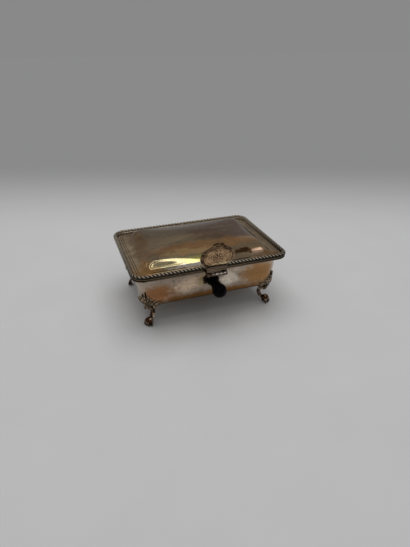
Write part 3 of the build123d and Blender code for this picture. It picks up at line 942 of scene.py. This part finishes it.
def cast_plate(name, worn, body, grime_and_shade, roughness, low=None, gaps=False, wear=(0.53, 0.58), stains_and_painted_light=()):
    """Silver-plated brass, cast, with dirt and painted shade in the hollows and the high places rubbed
    bright.

    Low is (colour, from, to, waver), with heights in millimetres: the metal changes to that colour low
    down; on the border that colour is painted shade on the outer face, on a foot it is worn red-brown
    plating.
    A piece without gaps also gets painted glints, random bright patches of the worn colour, and claws
    darkened towards the bottom. Wear is how convex the metal is where rubbing starts and where it is full.
    With gaps, the piece's gap attribute says instead where it is rubbed and where dirt and painted shade
    fill it, and the metal is lighter towards the back.
    """
    made, tree, place = finish(name)
    cloudy = add(tree, "ShaderNodeTexNoise", {
        "Vector": place, "Scale": per_metre(5), "Detail": 5.0,
    }).outputs["Fac"]
    tone = stained_and_painted(tree, body, place, cloudy, stains_and_painted_light)
    if low:
        low_colour_and_shade, low_from, low_to, waver = low
        level = add(tree, "ShaderNodeSeparateXYZ", {0: place}).outputs["Z"]
        wobble = add(tree, "ShaderNodeMath", {0: cloudy, 1: waver * MM, 2: level}, operation="MULTIPLY_ADD")
        high = add(tree, "ShaderNodeMapRange", {
            "Value": wobble, "From Min": low_from * MM, "From Max": low_to * MM,
        })
        tone = add(tree, "ShaderNodeMix", {0: high, 6: low_colour_and_shade, 7: tone}, data_type="RGBA")
    if low and not gaps:
        # Painted glints: random bright patches of the worn colour; and the claws darkened towards the bottom
        patchy = add(tree, "ShaderNodeTexNoise", {"Vector": place, "Scale": per_metre(3.5), "Detail": 2.0})
        glint = add(tree, "ShaderNodeMapRange", {
            "Value": patchy.outputs["Fac"], "From Min": 0.55, "From Max": 0.62, "To Max": 0.6,
        })
        tone = add(tree, "ShaderNodeMix", {0: glint, 6: tone, 7: worn}, data_type="RGBA")
        above_dark_claws = add(tree, "ShaderNodeMapRange", {
            "Value": wobble, "From Min": claw_heights[0] * MM, "From Max": claw_heights[1] * MM,
        })
        tone = add(tree, "ShaderNodeMix", {0: above_dark_claws, 6: grime_and_shade, 7: tone}, data_type="RGBA")
    # Grime and painted shade where a hollow shuts out the open air
    open_air = add(tree, "ShaderNodeAmbientOcclusion", {"Distance": 2.2 * MM}, samples=8).outputs["AO"]
    reached = add(tree, "ShaderNodeMath", {0: cloudy, 1: 0.5, 2: open_air}, operation="MULTIPLY_ADD")
    clear_of_grime_and_shade = add(tree, "ShaderNodeMapRange", {"Value": reached, "From Min": 0.72, "From Max": 1.15})
    tone = add(tree, "ShaderNodeMix", {0: clear_of_grime_and_shade, 6: grime_and_shade, 7: tone}, data_type="RGBA")
    # Bright where it is rubbed
    if gaps:
        gap = add(tree, "ShaderNodeAttribute", attribute_name="gap").outputs["Fac"]
        crests = add(tree, "ShaderNodeMapRange", {
            "Value": gap, "From Min": 0.03, "From Max": 0.2, "To Min": 0.85, "To Max": 0.0,
        })
        filled = add(tree, "ShaderNodeMapRange", {"Value": gap, "From Min": 0.25, "From Max": 0.5})
        tone = add(tree, "ShaderNodeMix", {0: filled, 6: tone, 7: grime_and_shade}, data_type="RGBA")
        # The metal lighter towards the back
        towards_back = add(tree, "ShaderNodeSeparateXYZ", {0: place}).outputs["Y"]
        lighter_towards_back = add(tree, "ShaderNodeMapRange", {
            "Value": towards_back, "From Min": -50 * MM, "From Max": 30 * MM, "To Max": 0.6,
        })
        rubbed = add(tree, "ShaderNodeMath", {0: crests, 1: lighter_towards_back}, operation="MAXIMUM")
    else:
        sharp = add(tree, "ShaderNodeNewGeometry").outputs["Pointiness"]
        rubbed = add(tree, "ShaderNodeMapRange", {
            "Value": sharp, "From Min": wear[0], "From Max": wear[1], "To Max": 0.8,
        })
    tone = add(tree, "ShaderNodeMix", {0: rubbed, 6: tone, 7: worn}, data_type="RGBA")
    rough = add(tree, "ShaderNodeMapRange", {
        "Value": clear_of_grime_and_shade, "To Min": roughness + grime_roughness, "To Max": roughness,
    })
    grain = add(tree, "ShaderNodeTexNoise", {"Vector": place, "Scale": per_metre(0.5), "Detail": 3.0})
    sandy = add(tree, "ShaderNodeBump", {"Height": grain.outputs["Fac"], "Distance": 0.04 * MM})
    shader = add(tree, "ShaderNodeBsdfPrincipled", {
        "Base Color": tone, "Metallic": 1.0, "Roughness": rough, "Normal": sandy,
    })
    add(tree, "ShaderNodeOutputMaterial", {"Surface": shader})
    return made


def ebonised_wood():
    """Hardwood, turned, stained black and waxed: near black, with faint brown rings and a dull gloss."""
    made, tree, place = finish("ebonised_wood_turned")
    rings = add(tree, "ShaderNodeTexWave", {
        "Vector": place, "Scale": per_metre(4.712) * wave_band, "Distortion": 3.0, "Detail": 3.0,
        "Detail Scale": 1.5,
    })
    tone = add(tree, "ShaderNodeMix", {0: rings.outputs["Fac"], 6: "#020202", 7: "#080605"}, data_type="RGBA")
    pores = add(tree, "ShaderNodeTexNoise", {"Vector": place, "Scale": per_metre(0.7), "Detail": 3.0})
    rough = add(tree, "ShaderNodeMapRange", {"Value": pores.outputs["Fac"], "To Min": 0.32, "To Max": 0.5})
    fine = add(tree, "ShaderNodeBump", {"Height": pores.outputs["Fac"], "Distance": 0.02 * MM})
    shader = add(tree, "ShaderNodeBsdfPrincipled", {
        "Base Color": tone, "Roughness": rough, "Normal": fine, "Specular IOR Level": 0.04,
    })
    add(tree, "ShaderNodeOutputMaterial", {"Surface": shader})
    return made


def floor_finish():
    """Matte card, coated: pale grey, and a plain mid grey far off, where the light no longer reaches."""
    made, tree, place = finish("matte_card_coated")
    far = add(tree, "ShaderNodeVectorMath", {0: place, 1: (*camera_heading, 0.0)}, operation="DOT_PRODUCT")
    ahead = add(tree, "ShaderNodeMapRange", {
        "Value": far.outputs["Value"], "From Min": floor_fade[0], "From Max": floor_fade[1],
    }, interpolation_type="SMOOTHSTEP")
    mottle = add(tree, "ShaderNodeTexNoise", {
        "Vector": place, "Scale": per_metre(60), "Detail": 4.0,
    }).outputs["Fac"]
    near = add(tree, "ShaderNodeMix", {0: mottle, 6: "#D6D6D7", 7: "#DDDDDD"}, data_type="RGBA")
    shader = add(tree, "ShaderNodeBsdfPrincipled", {
        "Base Color": near, "Roughness": 0.9, "Specular IOR Level": 0.1,
    })
    backdrop = add(tree, "ShaderNodeEmission", {"Color": "#8A8A8B"})
    rays = add(tree, "ShaderNodeLightPath").outputs
    seen = add(tree, "ShaderNodeMath", {
        0: rays["Is Camera Ray"], 1: rays["Is Glossy Ray"],
    }, operation="MAXIMUM")
    share = add(tree, "ShaderNodeMath", {0: ahead, 1: seen}, operation="MULTIPLY")
    surface = add(tree, "ShaderNodeMixShader", {0: share, 1: shader, 2: backdrop})
    add(tree, "ShaderNodeOutputMaterial", {"Surface": surface})
    return made


# Camera at the photograph's angle, and soft studio light. These places are in metres.
camera_place = (-0.12268, -0.36064, 0.23759)
camera_turn = (radians(61.081), 0.0, radians(-19.695))
camera_heading = (sin(-camera_turn[2]), cos(camera_turn[2]))
# How far along that heading the floor's fade starts and ends, and the floor's side
floor_fade = (0.155, 0.53)
floor_side = 12.0
view = bpy.data.cameras.new("view")
view.sensor_width = 36.0
view.lens = 28.3
view.clip_start = 0.01
camera = shown("view", view)
camera.location = camera_place
camera.rotation_euler = camera_turn
scene.camera = camera
scene.view_settings.view_transform = "Standard"

world = bpy.data.worlds.new("studio")
world.use_nodes = True
world.node_tree.nodes["Background"].inputs["Color"].default_value = colour("#898989")
scene.world = world


def lamp(name, centre, size, radiance, tint="#FFFFFF", shape="RECTANGLE", turn=(0, 0, 0), seen=True):
    """A flat lamp that shines with an even radiance, seen in reflections or not."""
    light = bpy.data.lights.new(name, "AREA")
    light.shape = shape
    light.size, light.size_y = size
    area = size[0] * size[1] * (pi / 4 if shape == "ELLIPSE" else 1)
    light.energy = radiance * pi * area
    light.color = colour(tint)[:3]
    made = shown(name, light)
    made.location = centre
    made.rotation_euler = turn
    made.visible_glossy = seen


# The strips give the lid its pale bands, the spark and the side glow its small bright spots, and the fill
# lights everything from above without showing in the metal
lamp("strip", (-0.3125, -0.56, 1.2), (1.375, 0.1), 2.2)
lamp("strip_wing", (0.3225, -0.8, 1.2), (0.105, 0.4), 2.3)
lamp("strip_end", (-2.0, 1.2, 1.2), (0.4, 0.3), 1.8, "#FFF0D8")
lamp("spark", (0.03, -1.33, 1.2), (0.34, 0.28), 3.0)
lamp("side_glow", (0.88, -1.54, 1.2), (0.22, 0.5), 0.95, shape="ELLIPSE")
lamp("fill", (0.02, 0.17, 1.1), (1.0, 1.0), 2.0, turn=(radians(-8), 0, 0), seen=False)

bpy.ops.mesh.primitive_plane_add(size=floor_side, location=(0, 0, 0))
floor = bpy.context.object
floor.name = "floor"
floor.data.materials.append(floor_finish())


# Stains, and painted light and shade, as (colour, middle, radii, strength), in millimetres
lid_stains_and_reflection = (
    ("#80705F", (-25, 28, 68), (60, 30, 20), 0.6),
    ("#80604A", (32, 14, 70), (62, 40, 16), 0.9),
    ("#A07A50", (-58, 10, 64), (14, 46, 14), 0.75),
    ("#CC9866", (2, -17, 69), (92, 10, 14), 0.8),
    ("#EAC28C", (-18, -23, 67), (30, 6, 8), 0.85),
    ("#C8985E", (-62, -28, 58), (22, 24, 7), 0.9),
    ("#C9BB90", (-30, -29, 61), (36, 7, 8), 0.95),
    ("#DCD084", (-12, -30, 60), (17, 5, 5), 0.95),
    # Painted reflection: a dark band on the slope to the right of the thumbpiece
    ("#4E301C", (35, -29.7, 61.5), (21, 3.5, 4), 0.95),
    ("#FFF2E4", (-14, -34, 57), (34, 4, 3), 0.95),
    ("#FFF0D8", (34, -39.5, 57), (26, 4, 3), 0.95),
    ("#D8BE98", (-68, 5, 57), (9, 50, 5), 0.85),
    ("#A87C52", (60, -36, 58), (15, 8, 6), 0.85),
    ("#F4C8AE", (49, -31.5, 60), (9, 5, 4), 0.75),
)
tray_stains_and_shade = (
    ("#A87246", (-52, -42, 35), (26, 14, 14), 0.9),
    ("#AC7E48", (48, -42, 40), (28, 14, 17), 0.9),
    ("#FFE1C3", (-24, -44, 40), (22, 10, 12), 0.9),
    ("#DABC94", (-8, -44, 44), (16, 10, 9), 0.85),
    ("#FFF2DE", (16, -44, 40), (13, 10, 15), 1.0),
    # Painted reflections on the wall left of the knob: a narrow yellowish strip, and the black neck mirrored,
    # with its shadow, beside it
    ("#A08C5C", (-12, -40, 44), (3.5, 10, 9), 0.55),
    ("#0E0906", (-7.4, -40, 43.5), (6.5, 10, 7.5), 1.0),
    ("#7A5730", (-9, -44, 31), (9, 9, 6), 0.8),
    # Painted shade: darker bands along the bottom of the wall, where it mirrors the shadowed floor
    ("#8A6034", (0, -42, 25), (95, 14, 8), 1.0),
    ("#4A3824", (0, -38, 20.5), (95, 14, 4), 0.9),
    ("#6B5A48", (0, 8, 21), (60, 42, 8), 0.5),
    # A darker olive patch on the wall beside the front right foot
    ("#64502E", (60, -43, 28), (10, 12, 9), 0.7),
)
thumb_tones_and_shadow = (
    ("#BE9C78", (0, -52, 70), (18.8, 60, 13), 1.0),
    # A lighter band along the bottom of the plate
    ("#E0C89E", (4, -52, 63.4), (12, 60, 2.6), 0.9),
    # Painted shadow: black along the plate's lower edge, above the hinge leaf
    ("#0C0704", (0, -50, 60.2), (30, 60, 2.2), 1.0),
)
hinge_painted_light_and_shade = (
    # Painted light and shade: dark bands over and under the leaf's ridges, a light band on the lower ridge, a
    # glint along the knuckles and black beneath them
    ("#241A12", (0, -51, 59.4), (40, 60, 1.5), 0.95),
    ("#8A7058", (0, -51, 57.3), (40, 60, 1.1), 0.9),
    ("#120C08", (0, -51, 55.6), (40, 60, 1.1), 0.95),
    ("#E8DCD0", (2, -51.6, 53.7), (9, 3, 1.5), 0.95),
    ("#060403", (0, -50, 51.1), (40, 60, 2.0), 1.0),
)
# Colours low down as (colour, from, to, waver), in millimetres
# Painted shade: the border's outer face is dark below its lip
border_painted_shade = ("#130F0C", 58.2, 58.8, 0.8)
foot_low = ("#4C3021", 18, 24, 8)
foot_wear = (0.52, 0.565)

# The finishes: the plate's base tone, its stains and painted light and shade, and how far its mottle is drawn
# out, and each casting's worn, plain and dirt-and-shade tones and its roughness
lid_finish = silver_plate("silver_plate_pressed_lid", "#B59D7B", lid_stains_and_reflection, 3.0)
tray_finish = silver_plate("silver_plate_pressed_tray", "#BFAE9C", tray_stains_and_shade, 1.3)
border_finish = cast_plate(
    "silver_plate_cast_border", "#E6D8C4", "#94866F", "#0A0705", 0.2, low=border_painted_shade, gaps=True,
)
# Painted shade: the rim wire is dark, as the shade under the border
wire_shade_finish = cast_plate("silver_plate_drawn_wire_painted_shade", "#7C6C5A", "#30261D", "#0C0906", 0.25)
thumb_finish = cast_plate(
    "silver_plate_cast_thumbpiece", "#D8BC98", "#453224", "#160E09", 0.26, stains_and_painted_light=thumb_tones_and_shadow,
)
hinge_finish = cast_plate(
    "silver_plate_drawn_hinge", "#8C7A68", "#3C2C1E", "#0C0805", 0.22, stains_and_painted_light=hinge_painted_light_and_shade,
)
foot_finish = cast_plate(
    "silver_plate_cast_foot", "#F0D8B8", "#5A4C3A", "#080504", 0.14, low=foot_low, wear=foot_wear,
)
knob_finish = ebonised_wood()
steel = cast_plate("steel_turned_dull", "#B8BABC", "#84868A", "#3A3A3C", 0.35)

# The pieces: each with its finish, its body, its slot and the node it stands for
lid_skin = skin("lid_sheet", lid_rings(), sheet_crease)
tray_skin = skin("tray_body", tray_rings())
border = joined("rope_border", [rope(border_finish), moulding()], turned_crease)
thumb = joined("thumbpiece_relief", [thumb_plate(), thumb_crest()], relief_crease)
lid_leaf_parts = [leaf_copy("lid_hinge_leaf", "lid_leaf_eased"), *leaf_ridges()]
lid_leaf = joined("lid_leaf_ridged", lid_leaf_parts, turned_crease)
front_right_foot = foot()
feet = [(front_right_foot, "foot_front_right")]
for node, across, along in (
    ("foot_front_left", -1, 1), ("foot_back_right", 1, -1), ("foot_back_left", -1, -1),
):
    feet.append((mirrored(front_right_foot, node + "_cast", across, along), node))
pieces = [
    (lid_skin, lid_finish, "lid", "lid_shell", "lid_shell"),
    (border, border_finish, "lid", "lid_rope_border", "lid_rope_border"),
    (tray_skin, tray_finish, "base", "tray", "tray"),
    (leaf_copy("tray_hinge_leaf", "tray_leaf_eased"), hinge_finish, "base", "hinge", "tray_hinge_leaf"),
    (lid_leaf, hinge_finish, "lid", "hinge", "lid_hinge_leaf"),
    (thumb, thumb_finish, "lid", "thumbpiece", "thumbpiece"),
    (knob(), knob_finish, "base", "knob", "knob"),
]
for cast_foot, node in feet:
    pieces.append((cast_foot, foot_finish, "base", "foot", node))
for made, surface, body, slot, node in pieces:
    made.data.materials.clear()
    made.data.materials.append(surface)
    made.data.polygons.foreach_set("material_index", [0] * len(made.data.polygons))
    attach(made, body)
    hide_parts(node)

for node, surface in (
    ("tray_rim_wire", wire_shade_finish), ("hinge_pin", hinge_finish),
    ("knob_washer", steel), ("knob_nut", steel), ("knob_stud", steel),
):
    for place in frame["nodes"][node].material_slots:
        place.material = surface
